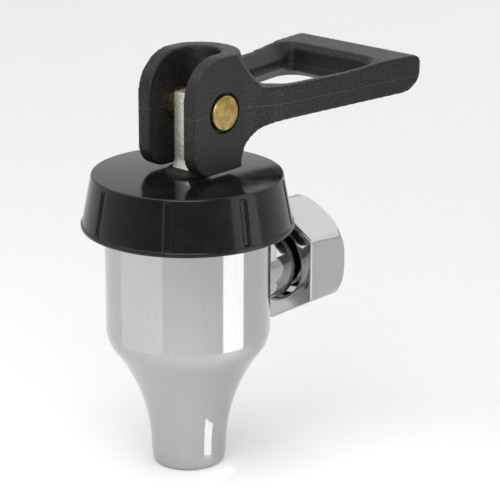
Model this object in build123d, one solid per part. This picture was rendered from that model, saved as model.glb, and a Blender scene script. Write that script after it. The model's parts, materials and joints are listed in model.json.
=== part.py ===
from build123d import *
import math
import os

# A self-closing coffee urn spigot. Millimetres and degrees. While modelling, Z runs up the tap's axis,
# height 0 is the bonnet's lower rim, and +Y runs along the inlet towards the urn. Every piece is moved
# to the shared frame, whose origin is the outer end of the union nut's thread, when it is written.

# Chromed body: a cylinder, a rounded shoulder, a concave flare and a nearly straight spout
BODY_RADIUS = 16.0
BODY_WALL = 3.0
BODY_RISE = 5.4
DROP_TO_FOOT = 48.6
SHOULDER_RADIUS = 5.6
FLARE_RADIUS = 23.7
SPOUT_NECK_RADIUS = 7.4
SPOUT_FOOT_RADIUS = 7.1
SPOUT_STRAIGHT = 5.6
SPOUT_WALL = 1.3
FOOT_ROUND = 0.5
SEAT_ABOVE_SHOULDER = 2.6
THROAT_RADIUS = 5.0
THROAT_LENGTH = 2.6

# Inlet boss, flanged tail and union nut
INLET_DROP = 13.4
BOSS_RADIUS = 7.1
BOSS_REACH = 23.7
TAIL_RADIUS = 5.9
TAIL_BORE = 4.1
TAIL_SPIGOT_RADIUS = 5.2
TAIL_SPIGOT_LENGTH = 6.0
TAIL_FLANGE_RADIUS = 8.4
TAIL_FLANGE_THICKNESS = 1.7
GASKET_THICKNESS = 1.4
GASKET_INSET = 0.2
NUT_GAP = 0.4
NUT_ACROSS_FLATS = 21.5
NUT_LENGTH = 10.5
NUT_TURNED_RADIUS = 11.95
NUT_REAR_ROUND = 1.9
NUT_FRONT_CHAMFER = 0.25
NUT_LIP = 2.2
NUT_LIP_CLEARANCE = 1.8
NUT_THREAD_CLEARANCE = 0.4
NUT_THREAD_DEPTH = 0.9
NUT_MOUTH_CHAMFER = 0.8
NUT_AXIAL_PLAY = 0.5

# Screwed bonnet
BONNET_RIM_RADIUS = 20.5
BONNET_TOP_RADIUS = 18.35
BONNET_HEIGHT = 10.5
BONNET_LIP_HEIGHT = 1.0
BONNET_LIP_STEP = 0.3
BONNET_PLATE = 2.4
BONNET_TOP_ROUND = 0.35
BONNET_THREAD_CLEARANCE = 0.1
BONNET_GROOVES = 8
BONNET_GROOVE_WIDTH = 1.8
BONNET_GROOVE_DEPTH = 0.45
BONNET_GROOVE_TOP = 9.4
BONNET_CLOCKING = -12.5

# Silicone seat cup, its flange held between body and bonnet
CUP_FLANGE_THICKNESS = 1.2
CUP_FLANGE_INSET = 0.6
CUP_CHAMBER_GAP = 2.2
CUP_NOSE_RADIUS = 8.6
CUP_WALL = 1.4
CUP_FLOOR = 1.6
CUP_FIT = 0.3
SEAT_CONTACT_GAP = 0.02
NOSE_DEPTH_IN_THROAT = 0.4

# Stem, spring and thrust washer
STEM_RADIUS = 4.2
STEM_RUN = 0.05
STEM_COLLAR_RADIUS = 6.5
STEM_COLLAR_THICKNESS = 1.6
STEM_NECK_RADIUS = 2.0
STEM_NECK_LENGTH = 2.2
STEM_BUTTON_RADIUS = 3.4
STEM_BUTTON_THICKNESS = 1.8
STEM_RECESS = 0.2
TONGUE_ROOT = 0.5
TONGUE_THICKNESS = 4.4
TONGUE_FRONT = 3.9
TONGUE_BACK = 2.4
TONGUE_RISE = 3.3
TONGUE_ROUND = 0.4
TONGUE_TOE = 1.0
TONGUE_TOE_RISE = 2.6
HEEL_INSET = 0.9
HEEL_CLEAR = 0.4
SPRING_WIRE = 1.2
SPRING_MEAN_RADIUS = 5.5
SPRING_TURNS = 8
WASHER_THICKNESS = 0.8
WASHER_RADIUS = 7.6
WASHER_HEADROOM = 0.05

# Lever: a slotted clevis on two brass studs, with arms that flare into a finger loop
PIVOT_BACK = 2.4
PIVOT_RISE = 12.4
LEVER_GAP = 0.8
CLEVIS_HALF_WIDTH = 7.5
CHEEK_THICKNESS = 3.1
CHEEK_FRONT = 8.0
CHEEK_BACK = 4.7
CHEEK_TOP = 10.7
CHEEK_TOP_RADIUS = 8.2
CHEEK_TOE_RADIUS = 4.2
NOTCH_RADIUS = 8.2
SADDLE_RADIUS = 12.0
SADDLE_CENTRE = 0.8
SADDLE_TOP_RADIUS = 7.8
SADDLE_FOOT_RADIUS = 12.3
ARM_TOP = 3.5
ARM_BOTTOM = 3.3
ARM_END_TOP = 4.3
ARM_END_BOTTOM = 3.0
ARM_THICKNESS = 3.8
ARM_RISE_LENGTH = 20.0
LEVER_REACH = 49.4
LEVER_END_HALF_WIDTH = 15.5
LEVER_END_ROUND = 3.2
LEVER_CORNER_ROUND = 3.0
FLARE_START = 6.4
FLARE_END = 11.5
FLARE_HALF_WIDTH = 10.9
FLARE_ROUND = 8.0
CROSSBAR_DEPTH = 10.2
SLOT_CENTRE = 0.5
WEB_BACK = 12.0
WEB_BOTTOM = 1.1
LOOP_ROUND = 1.6
LOOP_WALL_TOP = 1.2
LOOP_WALL_BOTTOM = 1.1
CROSSBAR_BEVEL = 1.1
STUD_RADIUS = 3.4
STUD_SHANK_RADIUS = 1.5
STUD_PROUD = 0.4
STUD_EDGE = 0.35
STUD_RUN = 0.08
STUD_HOLE_FACE_RELIEF = 0.6
STUD_RELIEF_DEPTH = 0.8

# Places worked out from the sizes above
FOOT_Z = -DROP_TO_FOOT
SPOUT_START_Z = FOOT_Z + SPOUT_STRAIGHT
TURN = math.acos(1 - (BODY_RADIUS - SPOUT_NECK_RADIUS) / (FLARE_RADIUS + SHOULDER_RADIUS))
CREASE_RADIUS = BODY_RADIUS - SHOULDER_RADIUS * (1 - math.cos(TURN))
CREASE_Z = SPOUT_START_Z + FLARE_RADIUS * math.sin(TURN)
SHOULDER_Z = CREASE_Z + SHOULDER_RADIUS * math.sin(TURN)
CHAMBER_RADIUS = BODY_RADIUS - BODY_WALL
SEAT_TOP_Z = SHOULDER_Z + SEAT_ABOVE_SHOULDER
THROAT_TOP_Z = SEAT_TOP_Z - (CHAMBER_RADIUS - THROAT_RADIUS)
THROAT_FOOT_Z = THROAT_TOP_Z - THROAT_LENGTH
SPOUT_BORE = SPOUT_FOOT_RADIUS - SPOUT_WALL
INLET_Z = -INLET_DROP

NUT_FRONT_Y = BOSS_REACH + NUT_GAP
NUT_MOUTH_Y = NUT_FRONT_Y + NUT_LENGTH
NUT_LIP_RADIUS = TAIL_RADIUS + NUT_LIP_CLEARANCE
NUT_THREAD_RADIUS = TAIL_FLANGE_RADIUS + NUT_THREAD_CLEARANCE
NUT_THREAD_END_Y = NUT_MOUTH_Y - NUT_MOUTH_CHAMFER
FLANGE_Y = NUT_FRONT_Y + NUT_LIP + NUT_AXIAL_PLAY
TAIL_END_Y = FLANGE_Y + TAIL_FLANGE_THICKNESS
GASKET_END_Y = TAIL_END_Y + GASKET_THICKNESS

CUP_FLANGE_RADIUS = BODY_RADIUS - CUP_FLANGE_INSET
CUP_TOP_RADIUS = CHAMBER_RADIUS - CUP_CHAMBER_GAP
CUP_TOP_Z = BODY_RISE + CUP_FLANGE_THICKNESS
PLATE_Z = BONNET_HEIGHT - BONNET_PLATE
WASHER_Z = PLATE_Z - WASHER_HEADROOM - WASHER_THICKNESS
NOSE_FOOT_Z = THROAT_TOP_Z - NOSE_DEPTH_IN_THROAT
CUP_FLOOR_Z = SEAT_TOP_Z + CUP_FLOOR
COLLAR_Z = CUP_FLOOR_Z + CUP_FIT
COLLAR_TOP_Z = COLLAR_Z + STEM_COLLAR_THICKNESS
BUTTON_TOP_Z = COLLAR_Z - STEM_NECK_LENGTH
BUTTON_FOOT_Z = BUTTON_TOP_Z - STEM_BUTTON_THICKNESS

PIVOT_Z = BONNET_HEIGHT + PIVOT_RISE
CHEEK_FOOT = PIVOT_RISE - LEVER_GAP
SLOT_HALF_WIDTH = CLEVIS_HALF_WIDTH - CHEEK_THICKNESS
TONGUE_TOP_Z = PIVOT_Z + TONGUE_RISE
STUD_LENGTH = CLEVIS_HALF_WIDTH - TONGUE_THICKNESS / 2 + STUD_PROUD

TO_FRAME = Pos(0, -NUT_THREAD_END_Y, INLET_DROP)


def turned(points):
    """A solid of revolution about the tap's axis from straight-sided (radius, height) points."""
    return revolve(Plane.XZ * make_face(Polyline(*points, close=True)), Axis.Z)


def ring(outer, inner, z0, z1):
    return turned([(inner, z0), (outer, z0), (outer, z1), (inner, z1)])


def on_inlet(points):
    """A solid of revolution about the inlet's axis from (radius, distance from the tap's axis) points."""
    upright = turned(points)
    return Pos(0, 0, INLET_Z) * Rot(-90, 0, 0) * upright


def make_body():
    shoulder_mid = (
        BODY_RADIUS - SHOULDER_RADIUS * (1 - math.cos(TURN / 2)),
        SHOULDER_Z - SHOULDER_RADIUS * math.sin(TURN / 2),
    )
    flare_mid = (
        SPOUT_NECK_RADIUS + FLARE_RADIUS * (1 - math.cos(TURN / 2)),
        SPOUT_START_Z + FLARE_RADIUS * math.sin(TURN / 2),
    )
    outline = [
        Line((0, BODY_RISE), (BODY_RADIUS, BODY_RISE)),
        Line((BODY_RADIUS, BODY_RISE), (BODY_RADIUS, SHOULDER_Z)),
        ThreePointArc((BODY_RADIUS, SHOULDER_Z), shoulder_mid, (CREASE_RADIUS, CREASE_Z)),
        ThreePointArc((CREASE_RADIUS, CREASE_Z), flare_mid, (SPOUT_NECK_RADIUS, SPOUT_START_Z)),
        Line((SPOUT_NECK_RADIUS, SPOUT_START_Z), (SPOUT_FOOT_RADIUS, FOOT_Z)),
        Line((SPOUT_FOOT_RADIUS, FOOT_Z), (0, FOOT_Z)),
        Line((0, FOOT_Z), (0, BODY_RISE)),
    ]
    shell = revolve(Plane.XZ * make_face(outline), Axis.Z)
    shell = fillet(shell.edges().group_by(Axis.Z)[0], FOOT_ROUND)
    boss = on_inlet([(0, 0), (BOSS_RADIUS, 0), (BOSS_RADIUS, BOSS_REACH), (0, BOSS_REACH)])
    shell = shell + boss
    spout_top_z = THROAT_FOOT_Z - 2 * (SPOUT_BORE - THROAT_RADIUS)
    shell = shell - turned([
        (0, BODY_RISE),
        (CHAMBER_RADIUS, BODY_RISE),
        (CHAMBER_RADIUS, SEAT_TOP_Z),
        (THROAT_RADIUS, THROAT_TOP_Z),
        (THROAT_RADIUS, THROAT_FOOT_Z),
        (SPOUT_BORE, spout_top_z),
        (SPOUT_BORE, FOOT_Z),
        (0, FOOT_Z),
    ])
    socket_y = BOSS_REACH - TAIL_SPIGOT_LENGTH
    return shell - on_inlet([
        (0, 0),
        (TAIL_BORE, 0),
        (TAIL_BORE, socket_y),
        (TAIL_SPIGOT_RADIUS, socket_y),
        (TAIL_SPIGOT_RADIUS, BOSS_REACH),
        (0, BOSS_REACH),
    ])


def make_inlet_tail():
    return on_inlet([
        (TAIL_BORE, BOSS_REACH - TAIL_SPIGOT_LENGTH),
        (TAIL_SPIGOT_RADIUS, BOSS_REACH - TAIL_SPIGOT_LENGTH),
        (TAIL_SPIGOT_RADIUS, BOSS_REACH),
        (TAIL_RADIUS, BOSS_REACH),
        (TAIL_RADIUS, FLANGE_Y),
        (TAIL_FLANGE_RADIUS, FLANGE_Y),
        (TAIL_FLANGE_RADIUS, TAIL_END_Y),
        (TAIL_BORE, TAIL_END_Y),
    ])


def make_tail_gasket():
    inner = TAIL_BORE + GASKET_INSET
    outer = TAIL_FLANGE_RADIUS - GASKET_INSET
    return on_inlet([
        (inner, TAIL_END_Y),
        (outer, TAIL_END_Y),
        (outer, GASKET_END_Y),
        (inner, GASKET_END_Y),
    ])


def make_union_nut():
    """A hexagon with upright side flats, its rear end turned round, threaded behind an undercut."""
    bar = extrude(RegularPolygon(NUT_ACROSS_FLATS / 2, 6, major_radius=False, rotation=30), NUT_LENGTH)
    corner = NUT_ACROSS_FLATS / math.sqrt(3)
    turn_start = NUT_LENGTH - NUT_REAR_ROUND
    envelope = [
        Line((0, 0), (corner - NUT_FRONT_CHAMFER, 0)),
        Line((corner - NUT_FRONT_CHAMFER, 0), (corner, NUT_FRONT_CHAMFER)),
        Line((corner, NUT_FRONT_CHAMFER), (NUT_TURNED_RADIUS, turn_start)),
        RadiusArc((NUT_TURNED_RADIUS, turn_start), (NUT_TURNED_RADIUS - NUT_REAR_ROUND, NUT_LENGTH),
                  -NUT_REAR_ROUND),
        Line((NUT_TURNED_RADIUS - NUT_REAR_ROUND, NUT_LENGTH), (0, NUT_LENGTH)),
        Line((0, NUT_LENGTH), (0, 0)),
    ]
    bar = bar & revolve(Plane.XZ * make_face(envelope), Axis.Z)
    undercut_radius = NUT_THREAD_RADIUS + NUT_THREAD_DEPTH
    undercut_end = GASKET_END_Y - NUT_FRONT_Y
    bore = turned([
        (0, 0),
        (NUT_LIP_RADIUS, 0),
        (NUT_LIP_RADIUS, NUT_LIP),
        (undercut_radius, NUT_LIP),
        (undercut_radius, undercut_end),
        (NUT_THREAD_RADIUS, undercut_end),
        (NUT_THREAD_RADIUS, NUT_LENGTH - NUT_MOUTH_CHAMFER),
        (NUT_THREAD_RADIUS + NUT_MOUTH_CHAMFER, NUT_LENGTH),
        (0, NUT_LENGTH),
    ])
    return Pos(0, NUT_FRONT_Y, INLET_Z) * Rot(-90, 0, 0) * (bar - bore)


def make_bonnet():
    skirt_radius = BONNET_RIM_RADIUS - BONNET_LIP_STEP
    thread_radius = BODY_RADIUS + BONNET_THREAD_CLEARANCE
    cap = turned([
        (STEM_RADIUS + STEM_RUN, BONNET_HEIGHT),
        (STEM_RADIUS + STEM_RUN, PLATE_Z),
        (CHAMBER_RADIUS, PLATE_Z),
        (CHAMBER_RADIUS, CUP_TOP_Z),
        (thread_radius, CUP_TOP_Z),
        (thread_radius, 0),
        (BONNET_RIM_RADIUS, 0),
        (BONNET_RIM_RADIUS, BONNET_LIP_HEIGHT),
        (skirt_radius, BONNET_LIP_HEIGHT),
        (BONNET_TOP_RADIUS, BONNET_HEIGHT),
    ])
    top_edge = cap.edges().filter_by(GeomType.CIRCLE).group_by(Axis.Z)[-1].sort_by(SortBy.RADIUS)[-1]
    cap = fillet(top_edge, BONNET_TOP_ROUND)
    lean = math.atan2(skirt_radius - BONNET_TOP_RADIUS, BONNET_HEIGHT - BONNET_LIP_HEIGHT)
    groove_length = (BONNET_GROOVE_TOP - BONNET_LIP_HEIGHT) / math.cos(lean)
    tool = Box(2 * BONNET_GROOVE_DEPTH, BONNET_GROOVE_WIDTH, groove_length,
               align=(Align.CENTER, Align.CENTER, Align.MIN))
    tool = Pos(skirt_radius, 0, BONNET_LIP_HEIGHT) * Rot(0, -math.degrees(lean), 0) * tool
    for index in range(BONNET_GROOVES):
        cap = cap - Rot(0, 0, BONNET_CLOCKING + 360 * index / BONNET_GROOVES) * tool
    return cap


def make_seat_cup():
    """Flange, thin tapering sleeve, and a conical nose that closes the throat."""
    level_gap = SEAT_CONTACT_GAP * math.sqrt(2)
    cone_top_z = SEAT_TOP_Z - (CHAMBER_RADIUS - CUP_NOSE_RADIUS) + level_gap
    throat_mouth = THROAT_RADIUS - level_gap
    socket_radius = STEM_BUTTON_RADIUS + CUP_FIT
    socket_foot_z = BUTTON_FOOT_Z - CUP_FIT
    socket_top_z = BUTTON_TOP_Z + CUP_FIT
    neck_radius = STEM_NECK_RADIUS + CUP_FIT
    return turned([
        (CUP_TOP_RADIUS - CUP_WALL, CUP_TOP_Z),
        (CUP_FLANGE_RADIUS, CUP_TOP_Z),
        (CUP_FLANGE_RADIUS, BODY_RISE),
        (CUP_TOP_RADIUS, BODY_RISE),
        (CUP_NOSE_RADIUS, SEAT_TOP_Z),
        (CUP_NOSE_RADIUS, cone_top_z),
        (throat_mouth, THROAT_TOP_Z),
        (throat_mouth - NOSE_DEPTH_IN_THROAT, NOSE_FOOT_Z),
        (0, NOSE_FOOT_Z),
        (0, socket_foot_z),
        (socket_radius, socket_foot_z),
        (socket_radius, socket_top_z),
        (neck_radius, socket_top_z),
        (neck_radius, CUP_FLOOR_Z),
        (CUP_NOSE_RADIUS - CUP_WALL, CUP_FLOOR_Z),
    ])


def make_stem():
    rod_top_z = BONNET_HEIGHT - STEM_RECESS
    rod = turned([
        (0, BUTTON_FOOT_Z),
        (STEM_BUTTON_RADIUS, BUTTON_FOOT_Z),
        (STEM_BUTTON_RADIUS, BUTTON_TOP_Z),
        (STEM_NECK_RADIUS, BUTTON_TOP_Z),
        (STEM_NECK_RADIUS, COLLAR_Z),
        (STEM_COLLAR_RADIUS, COLLAR_Z),
        (STEM_COLLAR_RADIUS, COLLAR_TOP_Z),
        (STEM_RADIUS, COLLAR_TOP_Z),
        (STEM_RADIUS, rod_top_z),
        (0, rod_top_z),
    ])
    foot_z = rod_top_z - TONGUE_ROOT
    front = PIVOT_BACK - TONGUE_FRONT
    back = PIVOT_BACK + TONGUE_BACK
    heel = STEM_RADIUS - HEEL_INSET
    heel_z = BONNET_HEIGHT + HEEL_CLEAR
    side = make_face(Polyline(
        (front - TONGUE_TOE, foot_z),
        (heel, foot_z),
        (heel, heel_z),
        (back, heel_z + back - heel),
        (back, TONGUE_TOP_Z),
        (front, TONGUE_TOP_Z),
        (front, BONNET_HEIGHT + TONGUE_TOE_RISE),
        (front - TONGUE_TOE, BONNET_HEIGHT),
        close=True,
    ))
    side = fillet(side.vertices().group_by(Axis.Y)[1:], TONGUE_ROUND)
    tongue = extrude(Plane.YZ * side, TONGUE_THICKNESS / 2, both=True)
    rims = tongue.faces().sort_by(Axis.X)[0].edges() + tongue.faces().sort_by(Axis.X)[-1].edges()
    tongue = fillet(rims.group_by(Axis.Z)[1:], TONGUE_ROUND)
    stem = rod + tongue
    cross_hole = Pos(0, PIVOT_BACK, PIVOT_Z) * Rot(0, 90, 0) * Cylinder(STUD_SHANK_RADIUS, TONGUE_THICKNESS)
    return stem - cross_hole


def make_pivot_stud(side):
    """A brass journal with a thinner shank that is pressed half way through the stem's tongue."""
    shoulder = TONGUE_THICKNESS / 2
    journal = Cylinder(STUD_RADIUS, STUD_LENGTH, align=(Align.CENTER, Align.CENTER, Align.MIN))
    journal = chamfer(journal.edges().group_by(Axis.Z)[-1], STUD_EDGE)
    shank = Cylinder(STUD_SHANK_RADIUS, shoulder, align=(Align.CENTER, Align.CENTER, Align.MAX))
    stud = Pos(0, 0, shoulder) * (journal + shank)
    return Pos(0, PIVOT_BACK, PIVOT_Z) * Rot(0, 90 * side, 0) * stud


def make_thrust_washer():
    return ring(WASHER_RADIUS, STEM_RADIUS + STEM_RUN, WASHER_Z, WASHER_Z + WASHER_THICKNESS)


def make_spring():
    """A compression spring with ground ends, between the stem's collar and the thrust washer."""
    length = WASHER_Z - COLLAR_TOP_Z
    pitch = length / SPRING_TURNS
    path = Helix(pitch, length + SPRING_WIRE, SPRING_MEAN_RADIUS)
    wire_plane = Plane(origin=path @ 0, z_dir=path % 0)
    coil = sweep(wire_plane * Circle(SPRING_WIRE / 2), path=path)
    coil = Pos(0, 0, COLLAR_TOP_Z - SPRING_WIRE / 2) * coil
    outer = SPRING_MEAN_RADIUS + SPRING_WIRE
    return coil & ring(outer, SPRING_MEAN_RADIUS - SPRING_WIRE, COLLAR_TOP_Z, WASHER_Z)


def lever_side():
    """The lever's side outline about the pivot, from (along the lever, up) points and arcs."""
    front = -CHEEK_FRONT
    toe_top = (front, CHEEK_TOE_RADIUS - CHEEK_FOOT)
    toe_end = (front + CHEEK_TOE_RADIUS, -CHEEK_FOOT)
    notch_foot = (CHEEK_BACK, -CHEEK_FOOT)
    notch_rise = CHEEK_FOOT - ARM_BOTTOM
    notch_run = math.sqrt(NOTCH_RADIUS ** 2 - (NOTCH_RADIUS - notch_rise) ** 2)
    notch_top = (CHEEK_BACK + notch_run, -ARM_BOTTOM)
    crown_start = (front, CHEEK_TOP - CHEEK_TOP_RADIUS)
    crown_end = (front + CHEEK_TOP_RADIUS, CHEEK_TOP)
    saddle_end = SADDLE_CENTRE + SADDLE_FOOT_RADIUS
    rise_start = (LEVER_REACH - ARM_RISE_LENGTH, ARM_TOP)
    rise_end = (LEVER_REACH - CROSSBAR_DEPTH, ARM_END_TOP)
    end_foot = (LEVER_REACH, -ARM_END_BOTTOM)
    end_top = (LEVER_REACH, ARM_END_TOP)
    face = make_face([
        Line(toe_end, notch_foot),
        RadiusArc(notch_foot, notch_top, NOTCH_RADIUS),
        Line(notch_top, end_foot),
        Line(end_foot, end_top),
        Line(end_top, rise_end),
        Line(rise_end, rise_start),
        Line(rise_start, (saddle_end, ARM_TOP)),
        Line((saddle_end, ARM_TOP), (saddle_end, CHEEK_TOP)),
        Line((saddle_end, CHEEK_TOP), crown_end),
        RadiusArc(crown_end, crown_start, -CHEEK_TOP_RADIUS),
        Line(crown_start, toe_top),
        RadiusArc(toe_top, toe_end, -CHEEK_TOE_RADIUS),
    ])
    ends = face.vertices().sort_by(Axis.X)[-2:]
    return fillet(ends, LEVER_END_ROUND)


def lever_plan():
    """The lever seen from above: a narrow clevis that flares into the finger loop."""
    plan = make_face(Polyline(
        (-CLEVIS_HALF_WIDTH, -CHEEK_FRONT),
        (CLEVIS_HALF_WIDTH, -CHEEK_FRONT),
        (CLEVIS_HALF_WIDTH, FLARE_START),
        (FLARE_HALF_WIDTH, FLARE_END),
        (LEVER_END_HALF_WIDTH, LEVER_REACH),
        (-LEVER_END_HALF_WIDTH, LEVER_REACH),
        (-FLARE_HALF_WIDTH, FLARE_END),
        (-CLEVIS_HALF_WIDTH, FLARE_START),
        close=True,
    ))
    corners = plan.vertices().sort_by(Axis.Y)
    plan = fillet(corners[-2:], LEVER_CORNER_ROUND)
    flare = [corner for corner in plan.vertices() if FLARE_START - 1e-6 < corner.Y < FLARE_END + 1e-6]
    return fillet(flare, FLARE_ROUND)


def saddle_waste():
    """What is cut away above the arms to leave a round-backed clevis that sweeps down onto them."""
    post = make_face([
        Line((0, ARM_TOP), (SADDLE_FOOT_RADIUS, ARM_TOP)),
        RadiusArc((SADDLE_FOOT_RADIUS, ARM_TOP), (SADDLE_TOP_RADIUS, CHEEK_TOP), SADDLE_RADIUS),
        Line((SADDLE_TOP_RADIUS, CHEEK_TOP), (0, CHEEK_TOP)),
        Line((0, CHEEK_TOP), (0, ARM_TOP)),
    ])
    post = revolve(Plane.XZ * post, Axis.Z)
    block = Box(2 * LEVER_END_HALF_WIDTH, SADDLE_FOOT_RADIUS, CHEEK_TOP - ARM_TOP,
                align=(Align.CENTER, Align.MIN, Align.MIN))
    return Pos(0, SADDLE_CENTRE, 0) * (Pos(0, 0, ARM_TOP) * block - post)


def loop_half_width(along):
    """The finger loop's inner half width at a distance behind the pivot."""
    share = (along - FLARE_END) / (LEVER_REACH - FLARE_END)
    return FLARE_HALF_WIDTH + share * (LEVER_END_HALF_WIDTH - FLARE_HALF_WIDTH) - ARM_THICKNESS


def loop_outline(start, end):
    corners = make_face(Polyline(
        (-loop_half_width(start), start),
        (loop_half_width(start), start),
        (loop_half_width(end), end),
        (-loop_half_width(end), end),
        close=True,
    ))
    return fillet(corners.vertices(), LOOP_ROUND)


def make_lever():
    across = 2 * LEVER_END_HALF_WIDTH
    tall = 2 * (CHEEK_FOOT + CHEEK_TOP)
    lever = extrude(Plane.YZ * lever_side(), LEVER_END_HALF_WIDTH, both=True)
    lever = lever & extrude(lever_plan(), tall, both=True)
    lever = lever - saddle_waste()

    loop_end = LEVER_REACH - CROSSBAR_DEPTH
    lever = lever - extrude(loop_outline(WEB_BACK, loop_end), tall, both=True)
    bevel_rise = ARM_END_TOP - LOOP_WALL_TOP
    upper = loop_outline(WEB_BACK + bevel_rise, loop_end + CROSSBAR_BEVEL - bevel_rise)
    lever = lever - Pos(0, 0, LOOP_WALL_TOP) * extrude(upper, bevel_rise, taper=-45)
    bevel_drop = ARM_BOTTOM - LOOP_WALL_BOTTOM
    lower = loop_outline(WEB_BACK + bevel_drop, loop_end + CROSSBAR_BEVEL - bevel_drop)
    lever = lever - Pos(0, 0, -LOOP_WALL_BOTTOM) * extrude(lower, -bevel_drop, taper=-45)

    slot = Pos(0, SLOT_CENTRE, 0) * Cylinder(SLOT_HALF_WIDTH, tall)
    mouth = Box(2 * SLOT_HALF_WIDTH, tall, tall, align=(Align.CENTER, Align.MAX, Align.CENTER))
    slot += Pos(0, SLOT_CENTRE, 0) * mouth
    lever = lever - slot
    throat = Box(2 * SLOT_HALF_WIDTH, WEB_BACK + LOOP_ROUND, tall, align=(Align.CENTER, Align.MIN, Align.MAX))
    lever = lever - Pos(0, 0, -WEB_BOTTOM) * throat

    lever = lever - Rot(0, 90, 0) * Cylinder(STUD_RADIUS + STUD_RUN, across)
    for side in (-1, 1):
        relief = Cylinder(STUD_RADIUS + STUD_HOLE_FACE_RELIEF, 2 * STUD_RELIEF_DEPTH)
        lever = lever - Pos(side * CLEVIS_HALF_WIDTH, 0, 0) * Rot(0, 90, 0) * relief
    return Pos(0, PIVOT_BACK, PIVOT_Z) * lever


PIECES = {
    "tap_body": make_body,
    "bonnet": make_bonnet,
    "seat_cup": make_seat_cup,
    "inlet_tail": make_inlet_tail,
    "tail_gasket": make_tail_gasket,
    "union_nut": make_union_nut,
    "thrust_washer": make_thrust_washer,
    "spring": make_spring,
    "stem": make_stem,
    "pivot_stud_left": lambda: make_pivot_stud(-1),
    "pivot_stud_right": lambda: make_pivot_stud(1),
    "lever": make_lever,
}

os.makedirs("parts", exist_ok=True)
for name, make in PIECES.items():
    export_step(TO_FRAME * make(), f"parts/{name}.step")
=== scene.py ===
import json
import math

import bmesh
import bpy
from mathutils import Matrix, Vector


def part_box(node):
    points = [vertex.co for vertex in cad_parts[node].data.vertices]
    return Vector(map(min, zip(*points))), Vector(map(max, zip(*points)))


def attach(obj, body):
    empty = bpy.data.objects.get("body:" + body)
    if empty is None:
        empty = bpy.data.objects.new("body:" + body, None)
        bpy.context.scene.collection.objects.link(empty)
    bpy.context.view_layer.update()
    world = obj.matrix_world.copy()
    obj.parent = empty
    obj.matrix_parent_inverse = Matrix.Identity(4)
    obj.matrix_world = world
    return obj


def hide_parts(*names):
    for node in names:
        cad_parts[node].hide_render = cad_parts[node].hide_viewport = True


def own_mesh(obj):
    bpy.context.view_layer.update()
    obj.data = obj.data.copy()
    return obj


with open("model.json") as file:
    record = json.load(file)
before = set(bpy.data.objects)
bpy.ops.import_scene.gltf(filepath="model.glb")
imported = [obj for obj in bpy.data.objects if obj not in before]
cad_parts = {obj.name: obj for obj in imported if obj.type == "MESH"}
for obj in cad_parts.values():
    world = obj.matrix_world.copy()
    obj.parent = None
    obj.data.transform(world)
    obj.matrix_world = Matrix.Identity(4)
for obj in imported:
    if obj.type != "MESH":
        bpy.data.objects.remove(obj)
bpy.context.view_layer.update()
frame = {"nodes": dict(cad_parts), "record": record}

MM = 0.001

# Places read from the frame, in metres
BONNET_LOW, BONNET_HIGH = (Vector(corner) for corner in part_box("bonnet"))
BODY_LOW, BODY_HIGH = (Vector(corner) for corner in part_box("tap_body"))
NUT_LOW, NUT_HIGH = (Vector(corner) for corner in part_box("union_nut"))
TAIL_LOW, TAIL_HIGH = (Vector(corner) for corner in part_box("inlet_tail"))
LEVER_LOW, LEVER_HIGH = (Vector(corner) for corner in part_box("lever"))
TAP_AXIS = (BONNET_LOW + BONNET_HIGH) / 2
TAP_AXIS.z = BONNET_LOW.z
JOINTS = {joint["name"]: joint for joint in frame["record"]["behaviour"]["joints"]}
PIVOT = Vector(JOINTS["lever_press"]["pos_m"])

# Ways from an outline's plane to the tap: up its axis, along its inlet, or a side view extruded across
ON_TAP = Matrix.Translation(TAP_AXIS)
ON_INLET = Matrix.Translation((0, TAP_AXIS.y, 0)) @ Matrix.Rotation(math.radians(-90), 4, "X")
SIDE_VIEW = Matrix(((0, 0, 1, 0), (1, 0, 0, 0), (0, 1, 0, 0), (0, 0, 0, 1)))

# Fineness of the meshes: steps around the tap and along an arc or a small edge, the angle from which an
# edge is crisp, the distance at which points merge, and how edges are rounded and mouldings smoothed
AROUND = 240
ARC_STEPS = 20
EDGE_STEPS = 6
SHARP_ANGLE = math.radians(28)
MERGE = 0.004 * MM
BEVEL_ANGLE = math.radians(30)
BEVEL_SEGMENTS = 3
SMOOTHING_FACTOR = 0.5

# How far, in millimetres, a shape to join or to cut with runs past the face where it starts or ends
OVERRUN = 1.0


def arc(centre, radius, start, end, steps=ARC_STEPS):
    """Points on an arc of an outline, from one angle to another in degrees."""
    points = []
    for step in range(steps + 1):
        angle = math.radians(start + (end - start) * step / steps)
        points.append((centre[0] + radius * math.cos(angle), centre[1] + radius * math.sin(angle)))
    return points


def metres(points):
    return [(first * MM, second * MM) for first, second in points]


def shade(mesh, angle=SHARP_ANGLE):
    """Shades a mesh smooth, with crisp edges where its faces meet at more than the angle."""
    mesh.polygons.foreach_set("use_smooth", [True] * len(mesh.polygons))
    mesh.set_sharp_from_angle(angle=angle)


def add_object(name, bm):
    mesh = bpy.data.meshes.new(name)
    bmesh.ops.recalc_face_normals(bm, faces=bm.faces)
    bm.to_mesh(mesh)
    bm.free()
    shade(mesh)
    obj = bpy.data.objects.new(name, mesh)
    bpy.context.collection.objects.link(obj)
    return obj


def lathe(name, outline, matrix, shape=None, around=AROUND):
    """Turns a closed (radius, height) outline about Z, then places it. shape may change a radius."""
    bm = bmesh.new()
    rings = []
    for step in range(around):
        angle = 2 * math.pi * step / around
        ring = []
        for radius, height in outline:
            reach = shape(radius, height, angle) if shape else radius
            ring.append(bm.verts.new((reach * math.cos(angle), reach * math.sin(angle), height)))
        rings.append(ring)
    count = len(outline)
    for step in range(around):
        here, after = rings[step], rings[(step + 1) % around]
        for index in range(count):
            beyond = (index + 1) % count
            bm.faces.new((here[index], here[beyond], after[beyond], after[index]))
    bmesh.ops.remove_doubles(bm, verts=bm.verts, dist=MERGE)
    bmesh.ops.transform(bm, matrix=matrix, verts=bm.verts)
    return add_object(name, bm)


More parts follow.
